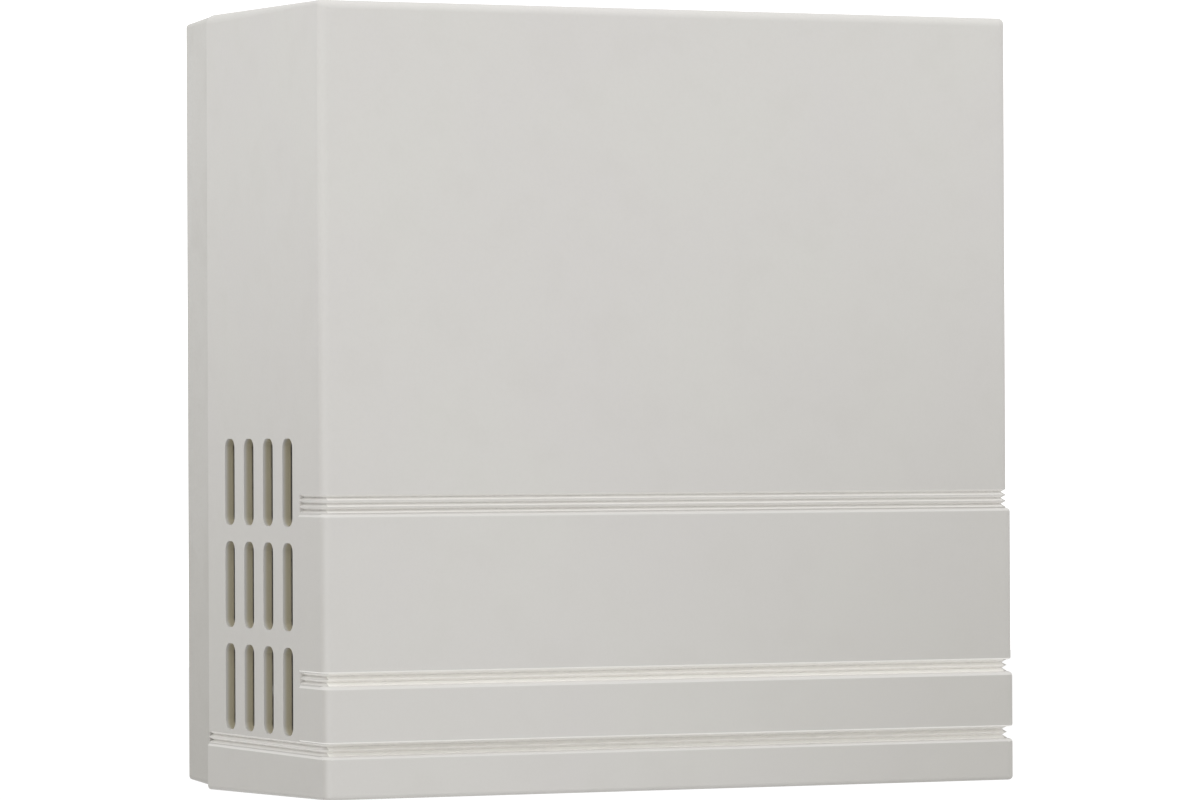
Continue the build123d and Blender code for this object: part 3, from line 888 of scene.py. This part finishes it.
COIL_FINISHES: dict[str, Finish] = {
    "bobbin": NYLON,
    "winding": COPPER,
    "winding_wrap": TAPE,
    "plunger_core": CORE_STEEL,
    "plunger_spring_rod": NYLON,
    "plunger_striker_rod": NYLON,
    "return_spring": SPRING_STEEL,
}
NODE_FINISHES: dict[str, Finish] = {
    "cover": COVER_PLASTIC,
    "base_pan": PAN_PLASTIC,
    "solenoid_chassis": CHASSIS_STEEL,
    "chassis_screws": SCREW_STEEL,
    "rear_bumper": RUBBER,
    "tone_bar_low": BAR_STEEL,
    "tone_bar_high": BAR_STEEL,
    "bar_grommets": RUBBER,
    "bar_retainers": SPRING_STEEL,
    "terminal_block": BLOCK_PLASTIC,
    "terminal_block_screws": SCREW_STEEL,
    "terminal_plates": BRASS,
    "terminal_screws": BRASS,
    "front_coil_leads": RED_LEAD,
    "rear_coil_leads": WHITE_LEAD,
    **{f"{coil}_{part}": finish for coil in COILS for part, finish in COIL_FINISHES.items()},
}


class Paintshop:
    """Builds each finish once and puts it on pieces."""

    def __init__(self) -> None:
        """Start with no finishes built."""
        self.built: dict[str, bpy.types.Material] = {}

    def material(self, finish: Finish) -> bpy.types.Material:
        """Return the finish's material, and build it the first time.

        Args:
            finish: The finish.

        Returns:
            The material.
        """
        if finish.name not in self.built:
            self.built[finish.name] = finish.material()
        return self.built[finish.name]

    def paint_node(self, name: str) -> None:
        """Repaint a node of the frame.

        Args:
            name: The node's name.
        """
        material = self.material(NODE_FINISHES[name])
        for material_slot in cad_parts[name].material_slots:
            material_slot.material = material

    def finish_piece(self, piece: Piece, finish: Finish, *nodes: str) -> None:
        """Paint a new piece, put it on the pan and let it stand for nodes.

        Args:
            piece: The finished piece.
            finish: Its finish.
            nodes: The nodes that it stands for.
        """
        activate(piece)
        bpy.ops.object.shade_smooth_by_angle(angle=SMOOTH_ANGLE)
        piece.data.materials.clear()
        piece.data.materials.append(self.material(finish))
        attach(piece, PAN)
        if nodes:
            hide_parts(*nodes)
        LOG.info("piece %s, %d faces", piece.name, len(piece.data.polygons))


class Axis(Enum):
    """The turn that lays a primitive's own axis along an axis of the frame."""

    RIGHT = (0.0, pi / 2, 0.0)
    FRONT = (pi / 2, 0.0, 0.0)


def activate(piece: Piece) -> None:
    """Select one piece alone and make it active.

    Args:
        piece: The piece.
    """
    bpy.ops.object.select_all(action="DESELECT")
    piece.select_set(True)
    bpy.context.view_layer.objects.active = piece


def settle(name: str) -> Piece:
    """Name the active piece and move its turn, scale and place into its mesh.

    Args:
        name: The piece's name.

    Returns:
        The piece.
    """
    piece = bpy.context.object
    piece.name = name
    bpy.ops.object.transform_apply(location=True, rotation=True, scale=True)
    return piece


def cylinder(
    name: str,
    middle: Triple,
    axis: Axis,
    radius: float,
    length: float,
    sides: int = CYLINDER_SIDES,
) -> Piece:
    """Add a cylinder.

    Args:
        name: Its name.
        middle: Its middle.
        axis: The way that its axis points.
        radius: Its radius.
        length: Its length.
        sides: How many faces go round it.

    Returns:
        The cylinder.
    """
    bpy.ops.mesh.primitive_cylinder_add(
        vertices=sides, radius=radius, depth=length, location=middle, rotation=axis.value
    )
    return settle(name)


def block(name: str, low: Triple, high: Triple) -> Piece:
    """Add a box between two corners.

    Args:
        name: Its name.
        low: Its lowest corner.
        high: Its highest corner.

    Returns:
        The box.
    """
    size = Vector(high) - Vector(low)
    middle = (Vector(high) + Vector(low)) / 2
    bpy.ops.mesh.primitive_cube_add(size=1.0, location=middle, scale=size)
    return settle(name)


def modify(piece: Piece, kind: str, settings: dict[str, Any]) -> None:
    """Apply one modifier to a piece.

    Args:
        piece: The piece.
        kind: The modifier's type.
        settings: Its settings.
    """
    activate(piece)
    modifier = piece.modifiers.new(kind.lower(), kind)
    for name, value in settings.items():
        setattr(modifier, name, value)
    bpy.ops.object.modifier_apply(modifier=modifier.name)


def soften(piece: Piece, width: float) -> None:
    """Round every sharp edge of a piece.

    Args:
        piece: The piece.
        width: The width of the rounding.
    """
    settings = {
        "width": width,
        "segments": SOFT_STEPS,
        "limit_method": "ANGLE",
        "angle_limit": SHARP_ANGLE,
    }
    modify(piece, "BEVEL", settings)


def cut(piece: Piece, knife: Piece) -> None:
    """Take one piece away from another.

    Args:
        piece: The piece that is cut.
        knife: The shape that is taken away, which is then removed.
    """
    modify(piece, "BOOLEAN", {"operation": "DIFFERENCE", "solver": "EXACT", "object": knife})
    bpy.data.objects.remove(knife)


def pick(piece: Piece, edges: bool, chosen: Callable[[Any], bool]) -> None:
    """Start to edit a piece with only some of its edges or faces selected.

    Args:
        piece: The piece.
        edges: Whether edges are selected, not faces.
        chosen: Tells whether an edge or face is selected.
    """
    activate(piece)
    mesh = piece.data
    bpy.context.tool_settings.mesh_select_mode = (False, edges, not edges)
    for items in (mesh.vertices, mesh.edges, mesh.polygons):
        for item in items:
            item.select = False
    for item in mesh.edges if edges else mesh.polygons:
        item.select = chosen(item)
    bpy.ops.object.mode_set(mode="EDIT")


def round_edges(piece: Piece, chosen: Callable[[Vector, Vector], bool], width: float) -> None:
    """Bevel the edges that a test picks.

    Args:
        piece: The piece.
        chosen: Tells from an edge's two ends whether it is bevelled.
        width: The width of the bevel.
    """
    vertices = piece.data.vertices
    pick(piece, True, lambda edge: chosen(*(vertices[index].co for index in edge.vertices)))
    bpy.ops.mesh.bevel(offset=width, segments=ROUND_STEPS, affect="EDGES")
    bpy.ops.object.mode_set(mode="OBJECT")


def keep_faces(piece: Piece, kept: Callable[[bpy.types.MeshPolygon], bool]) -> None:
    """Delete every face that a test doesn't pick.

    Args:
        piece: The piece.
        kept: Tells whether a face stays.
    """
    pick(piece, False, lambda face: not kept(face))
    bpy.ops.mesh.delete(type="FACE")
    bpy.ops.object.mode_set(mode="OBJECT")


def join(name: str, *parts: Piece) -> Piece:
    """Join parts into one piece.

    Args:
        name: The piece's name.
        parts: The parts.

    Returns:
        The piece.
    """
    activate(parts[0])
    for part in parts:
        part.select_set(True)
    bpy.ops.object.join()
    return settle(name)


def copied(piece: Piece, move: Triple) -> Piece:
    """Copy a piece with its own mesh.

    Args:
        piece: The piece, which was modelled at the origin.
        move: How far the copy moves.

    Returns:
        The copy.
    """
    activate(piece)
    bpy.ops.object.duplicate(linked=False)
    copy = bpy.context.object
    copy.location = move
    return settle(piece.name + " copy")


def spread(low: float, high: float, count: int) -> list[float]:
    """Return evenly spaced values from low to high.

    Args:
        low: The first value.
        high: The last value.
        count: How many there are.

    Returns:
        The values.
    """
    if count == 1:
        return [(low + high) / 2]
    return [low + (high - low) * place / (count - 1) for place in range(count)]


@dataclass
class ScrewSet:
    """Pan head screws in rows and columns, with a cross that may widen into a full slot."""

    node: str
    finish: Finish
    columns: int
    rows: int
    slotted: bool = False
    head_radius: float = 0.0032
    head_height: float = 0.002
    shank_radius: float = 0.00145
    dome: float = 0.0012
    recess_width: float = 0.0009
    recess_span: float = 0.0038
    recess_depth: float = 0.0011
    edge: float = 0.00008

    def model(self) -> Piece:
        """Model one screw at the origin, with its seat at zero and its head to the front.

        Returns:
            The screw.
        """
        middle = (0.0, -self.head_height / 2, 0.0)
        head = cylinder(self.node + " head", middle, Axis.FRONT, self.head_radius, self.head_height)
        front = -self.head_height * NEAR_END
        round_edges(head, lambda first, second: max(first.y, second.y) < front, self.dome)
        across = KNIFE_REACH * self.head_radius if self.slotted else self.recess_span
        narrow = self.recess_width
        for wide, high in ((narrow, self.recess_span), (across, narrow)):
            low = (-wide / 2, -KNIFE_REACH * self.head_height, -high / 2)
            top = (wide / 2, -self.head_height + self.recess_depth, high / 2)
            cut(head, block("recess knife", low, top))
        soften(head, self.edge)
        low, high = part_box(self.node)
        length = high[1] - low[1] - self.head_height
        shank_middle = (0.0, length / 2 - self.edge, 0.0)
        shank = cylinder(self.node + " shank", shank_middle, Axis.FRONT, self.shank_radius, length)
        return join(self.node + " screw", head, shank)

    def build(self, paint: Paintshop) -> None:
        """Put a copy wherever the node has a screw.

        Args:
            paint: The paintshop.
        """
        low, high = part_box(self.node)
        radius = self.head_radius
        screw = self.model()
        copies = [
            copied(screw, (x, low[1] + self.head_height, z))
            for x in spread(low[0] + radius, high[0] - radius, self.columns)
            for z in spread(low[2] + radius, high[2] - radius, self.rows)
        ]
        bpy.data.objects.remove(screw)
        piece = join(self.node + "_detailed", *copies)
        paint.finish_piece(piece, self.finish, self.node)


@dataclass
class ReturnSprings:
    """The plungers' return springs, wound from round wire with closed ends."""

    wire: float = 0.0007
    radius: float = 0.0038
    turns: int = 6
    steps: int = 40
    sides: int = 14
    shortest_share: float = 0.672

    def ring(self) -> Piece:
        """Model the closed turn of one end at the origin.

        Returns:
            The ring.
        """
        bpy.ops.mesh.primitive_torus_add(
            major_radius=self.radius,
            minor_radius=self.wire / 2,
            major_segments=self.steps,
            minor_segments=self.sides,
            rotation=Axis.RIGHT.value,
        )
        return settle("closed turn")

    def model(self, length: float) -> Piece:
        """Model one spring that runs from the origin to the left.

        Args:
            length: Its length.

        Returns:
            The spring.
        """
        first, last = -self.wire / 2, self.wire / 2 - length
        bpy.ops.mesh.primitive_circle_add(
            vertices=self.sides,
            radius=self.wire / 2,
            location=(first, 0.0, 0.0),
            rotation=Axis.FRONT.value,
        )
        coil = bpy.context.object
        bpy.ops.object.transform_apply(location=False, rotation=True, scale=True)
        bpy.ops.object.mode_set(mode="EDIT")
        bpy.ops.mesh.select_all(action="SELECT")
        bpy.ops.transform.translate(value=(0.0, 0.0, self.radius))
        bpy.ops.object.mode_set(mode="OBJECT")
        settings = {
            "axis": "X",
            "angle": 2 * pi,
            "iterations": self.turns,
            "steps": self.steps,
            "render_steps": self.steps,
            "screw_offset": (last - first) / self.turns,
            "use_normal_calculate": True,
        }
        modify(coil, "SCREW", settings)
        ring = self.ring()
        ends = [copied(ring, (place, 0.0, 0.0)) for place in (first, last)]
        bpy.data.objects.remove(ring)
        spring = join("return spring", coil, *ends)
        bpy.ops.object.mode_set(mode="EDIT")
        bpy.ops.mesh.select_all(action="SELECT")
        bpy.ops.mesh.normals_make_consistent(inside=False)
        bpy.ops.object.mode_set(mode="OBJECT")
        return spring

    def build(self, paint: Paintshop) -> None:
        """Put a copy where each spring's node is.

        Args:
            paint: The paintshop.
        """
        nodes = [f"{coil}_return_spring" for coil in COILS]
        low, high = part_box(nodes[0])
        spring = self.model(high[0] - low[0])
        for coil, node in zip(COILS, nodes):
            low, high = (Vector(corner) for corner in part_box(node))
            middle = (low + high) / 2
            fixed = (high.x, middle.y, middle.z)
            piece = copied(spring, fixed)
            piece.name = node + "_detailed"
            paint.finish_piece(piece, SPRING_STEEL, node)
            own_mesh(piece)
        bpy.data.objects.remove(spring)


@dataclass
class ToneBar:
    """One flat steel tone bar, with its edges eased and a hole for each grommet."""

    node: str
    corner: float = 0.0015
    hole_radius: float = 0.00385
    hang_share: float = 0.224
    edge: float = 0.00025

    def holes(self) -> list[Vector]:
        """Find the bar's holes.

        Returns:
            The middles of the holes.
        """
        low, high = (Vector(corner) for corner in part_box(self.node))
        middle = (low + high) / 2
        reach = (high.z - low.z) * (0.5 - self.hang_share)
        return [Vector((middle.x, middle.y, middle.z + side * reach)) for side in (-1, 1)]

    def build(self, paint: Paintshop) -> None:
        """Model the bar where the node is.

        Args:
            paint: The paintshop.
        """
        low, high = (Vector(corner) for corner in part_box(self.node))
        thickness = high.x - low.x
        bar = block(self.node + "_detailed", low, high)
        across = thickness * NEAR_END
        round_edges(bar, lambda first, second: abs(first.x - second.x) > across, self.corner)
        for middle in self.holes():
            reach = KNIFE_REACH * thickness
            cut(bar, cylinder("hole knife", middle, Axis.RIGHT, self.hole_radius, reach))
        soften(bar, self.edge)
        paint.finish_piece(bar, BAR_STEEL, self.node)


@dataclass
class Retainers:
    """The push-on retainers that keep the tone bars on their pegs."""

    bars: tuple[ToneBar, ...]
    node: str = "bar_retainers"
    radius: float = 0.005
    thickness: float = 0.0009
    bore: float = 0.00195
    slit: float = 0.0006
    slit_span: float = 0.0070
    slits: int = 3
    edge: float = 0.0002

    def model(self) -> Piece:
        """Model one retainer at the origin, with its axis to the right.

        Returns:
            The retainer.
        """
        middle = (0.0, 0.0, 0.0)
        reach = KNIFE_REACH * self.thickness
        disc = cylinder("retainer", middle, Axis.RIGHT, self.radius, self.thickness)
        cut(disc, cylinder("bore knife", middle, Axis.RIGHT, self.bore, reach))
        half = (self.thickness, self.slit / 2, self.slit_span / 2)
        for place in range(self.slits):
            knife = block("slit knife", tuple(-size for size in half), half)
            knife.rotation_euler = (pi * place / self.slits, 0.0, 0.0)
            cut(disc, knife)
        soften(disc, self.edge)
        return disc

    def build(self, paint: Paintshop) -> None:
        """Put a copy on each peg.

        Args:
            paint: The paintshop.
        """
        retainer = self.model()
        low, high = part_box("bar_grommets")
        half = self.thickness / 2
        copies = []
        for bar in self.bars:
            for middle in bar.holes():
                outside = low[0] - half if middle.x < 0 else high[0] + half
                copies.append(copied(retainer, (outside, middle.y, middle.z)))
        bpy.data.objects.remove(retainer)
        paint.finish_piece(join(self.node + "_detailed", *copies), SPRING_STEEL, self.node)


@dataclass
class TapeEnds:
    """The free end of the tape round each coil, which makes a small step."""

    thickness: float = 0.00014
    margin: float = 0.0006
    first_angle: float = radians(12.0)
    last_angle: float = radians(52.0)
    sides: int = 144

    def _on_strip(self, polygon: bpy.types.MeshPolygon) -> bool:
        """Tell whether a face of the cylinder is within the strip's angles.

        Args:
            polygon: The face.

        Returns:
            Whether it is.
        """
        angle = atan2(polygon.center.z, -polygon.center.y)
        return self.first_angle < angle < self.last_angle

    def model(self, length: float, radius: float) -> Piece:
        """Model one strip round the origin.

        Args:
            length: The length of the coil's tape.
            radius: The radius of the coil's tape.

        Returns:
            The strip.
        """
        length -= 2 * self.margin
        strip = cylinder("tape end", (0.0, 0.0, 0.0), Axis.RIGHT, radius, length, self.sides)
        keep_faces(strip, self._on_strip)
        modify(strip, "SOLIDIFY", {"thickness": self.thickness, "offset": 1.0})
        return strip

    def build(self, paint: Paintshop) -> None:
        """Lay a copy on each coil's tape.

        Args:
            paint: The paintshop.
        """
        wraps = [f"{coil}_winding_wrap" for coil in COILS]
        low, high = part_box(wraps[0])
        strip = self.model(high[0] - low[0], (high[2] - low[2]) / 2)
        for coil, wrap in zip(COILS, wraps):
            low, high = (Vector(corner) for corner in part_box(wrap))
            piece = copied(strip, (low + high) / 2)
            piece.name = f"{coil}_tape_end"
            paint.finish_piece(piece, TAPE)
        bpy.data.objects.remove(strip)


@dataclass
class SolderJoints:
    """The solder that holds the coils' leads to their terminal tags."""

    nodes: tuple[str, ...] = tuple(f"{coil}_coil_leads" for coil in COILS)
    radius: float = 0.0011
    flatness: float = 0.75
    segments: int = 24
    rings: int = 14
    end_reach: float = 0.0004
    gap: float = 0.002

    def places(self, node: str) -> list[Vector]:
        """Find where a coil's leads end on the tags.

        Args:
            node: The node of the leads.

        Returns:
            The middle of each lead's lower end.
        """
        low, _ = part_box(node)
        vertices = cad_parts[node].data.vertices
        ends = [vertex.co.copy() for vertex in vertices if vertex.co.z < low[2] + self.end_reach]
        ends.sort(key=lambda point: point.x)
        groups = [[ends[0]]]
        for point in ends[1:]:
            if point.x - groups[-1][-1].x > self.gap:
                groups.append([])
            groups[-1].append(point)
        return [sum(group, Vector()) / len(group) for group in groups]

    def build(self, paint: Paintshop) -> None:
        """Put a flattened drop round each end.

        Args:
            paint: The paintshop.
        """
        bpy.ops.mesh.primitive_uv_sphere_add(
            segments=self.segments,
            ring_count=self.rings,
            radius=self.radius,
            scale=(1.0, 1.0, self.flatness),
        )
        drop = settle("solder drop")
        for node in self.nodes:
            copies = [copied(drop, place) for place in self.places(node)]
            paint.finish_piece(join(node + "_solder", *copies), SOLDER)
        bpy.data.objects.remove(drop)


@dataclass(frozen=True)
class Lamp:
    """One soft square lamp that looks at the object."""

    name: str
    place: Triple
    size: float
    power: float


@dataclass
class Studio:
    """The white studio of the photograph, with its camera."""

    eye: Triple = (-0.59846, -1.40211, -0.00973)
    yaw: float = radians(23.8469)
    pitch: float = radians(0.37395)
    roll: float = radians(-0.25304)
    lens: float = 177.158
    sensor: float = 36.0
    nearest: float = 0.05
    farthest: float = 60.0
    ambient: Triple = (1.0, 1.0, 1.0)
    floor_height: float = -0.25
    floor_size: float = 9.0
    floor_pale: Triple = (0.85, 0.85, 0.85)
    floor_bounce: Triple = (0.75, 0.75, 0.75)
    floor_rough: float = 0.9
    floor_gloss: float = 0.1
    glow: float = 1.35
    shadow_share: float = 0.5
    lamps: tuple[Lamp, ...] = (
        Lamp("overhead lamp", (-0.1, -0.25, 0.65), size=1.4, power=1.5),
        Lamp("key lamp", (-0.62, -0.36, 0.72), size=0.45, power=1.0),
    )

    def camera(self) -> None:
        """Create the camera where the photograph was taken from."""
        level = cos(self.pitch)
        ahead = Vector((sin(self.yaw) * level, cos(self.yaw) * level, sin(self.pitch)))
        right = Vector((cos(self.yaw), -sin(self.yaw), 0.0))
        above = right.cross(ahead)
        right_rolled = right * cos(self.roll) + above * sin(self.roll)
        above_rolled = above * cos(self.roll) - right * sin(self.roll)
        turn = Matrix((right_rolled, above_rolled, -ahead)).transposed().to_euler()
        bpy.ops.object.camera_add(location=self.eye, rotation=turn)
        camera = bpy.context.object
        camera.name = "photo camera"
        camera.data.lens = self.lens
        camera.data.sensor_width = self.sensor
        camera.data.clip_start = self.nearest
        camera.data.clip_end = self.farthest
        bpy.context.scene.camera = camera

    def white(self, name: str, shadow_share: float) -> bpy.types.Material:
        """Build a pale surface that the camera sees as white, with its shadow kept.

        Args:
            name: The material's name.
            shadow_share: How much of the lit surface shows through the white.

        Returns:
            The material.
        """
        made = bpy.data.materials.new(name)
        made.use_nodes = True
        shader = Shader(made.node_tree)
        seen = shader.node("ShaderNodeLightPath", {}, {}, "Is Camera Ray")
        color = shader.blend(seen, self.floor_bounce, self.floor_pale)
        sockets = {
            "Base Color": color,
            "Roughness": self.floor_rough,
            "Specular IOR Level": self.floor_gloss,
        }
        lit = shader.node("ShaderNodeBsdfPrincipled", {}, sockets)
        white = {"Color": (1.0, 1.0, 1.0, 1.0), "Strength": self.glow}
        glow = shader.node("ShaderNodeEmission", {}, white)
        plain = seen * (1.0 - shadow_share)
        both = shader.node("ShaderNodeMixShader", {}, {0: plain, 1: lit, 2: glow})
        shader.node("ShaderNodeOutputMaterial", {}, {"Surface": both})
        return made

    def surfaces(self) -> None:
        """Create the floor and the backdrop."""
        size = self.floor_size
        bpy.ops.mesh.primitive_plane_add(size=size, location=(0.0, 0.0, self.floor_height))
        floor = bpy.context.object
        floor.name = "studio floor"
        floor.data.materials.append(self.white("floor white", self.shadow_share))
        place = (0.0, size / 2, size / 2 + self.floor_height)
        bpy.ops.mesh.primitive_plane_add(size=size, location=place, rotation=Axis.FRONT.value)
        backdrop = bpy.context.object
        backdrop.name = "studio backdrop"
        backdrop.data.materials.append(self.white("backdrop white", 0.0))

    def lights(self) -> None:
        """Create the lamps and the world."""
        for lamp in self.lamps:
            aim = (-Vector(lamp.place)).to_track_quat("-Z", "Y").to_euler()
            bpy.ops.object.light_add(type="AREA", location=lamp.place, rotation=aim)
            light = bpy.context.object
            light.name = lamp.name
            light.data.shape = "SQUARE"
            light.data.size = lamp.size
            light.data.energy = lamp.power
            LOG.info("lamp %s", lamp.name)
        world = bpy.data.worlds.new("studio world")
        world.use_nodes = True
        bpy.context.scene.world = world
        shader = Shader(world.node_tree)
        seen = shader.node("ShaderNodeLightPath", {}, {}, "Is Camera Ray")
        soft = shader.node("ShaderNodeBackground", {}, {"Color": (*self.ambient, 1.0)})
        bright = shader.node("ShaderNodeBackground", {}, {"Color": (1.0, 1.0, 1.0, 1.0)})
        both = shader.node("ShaderNodeMixShader", {}, {0: seen, 1: soft, 2: bright})
        shader.node("ShaderNodeOutputWorld", {}, {"Surface": both})

    def build(self) -> None:
        """Create the whole studio."""
        self.camera()
        self.surfaces()
        self.lights()
        bpy.context.scene.view_settings.view_transform = "Standard"


@dataclass
class Chime:
    """The whole chime: every node's finish and every detailed piece."""

    paint: Paintshop = field(default_factory=Paintshop)
    bars: tuple[ToneBar, ...] = (ToneBar("tone_bar_low"), ToneBar("tone_bar_high"))
    screws: tuple[ScrewSet, ...] = (
        ScrewSet("chassis_screws", SCREW_STEEL, columns=2, rows=2),
        ScrewSet("terminal_block_screws", SCREW_STEEL, columns=2, rows=1),
        ScrewSet("terminal_screws", BRASS, columns=3, rows=1, slotted=True, shank_radius=0.0016),
    )

    def build(self) -> None:
        """Repaint the frame and add the detailed pieces."""
        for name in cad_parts:
            self.paint.paint_node(name)
        for screw_set in self.screws:
            screw_set.build(self.paint)
        for bar in self.bars:
            bar.build(self.paint)
        for group in (Retainers(self.bars), ReturnSprings(), TapeEnds(), SolderJoints()):
            group.build(self.paint)


def main() -> None:
    """Build the scene."""
    logging.basicConfig(level=logging.INFO, format="%(message)s")
    bpy.ops.object.select_all(action="DESELECT")
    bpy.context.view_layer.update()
    Studio().build()
    Chime().build()


if __name__ == "__main__":
    main()
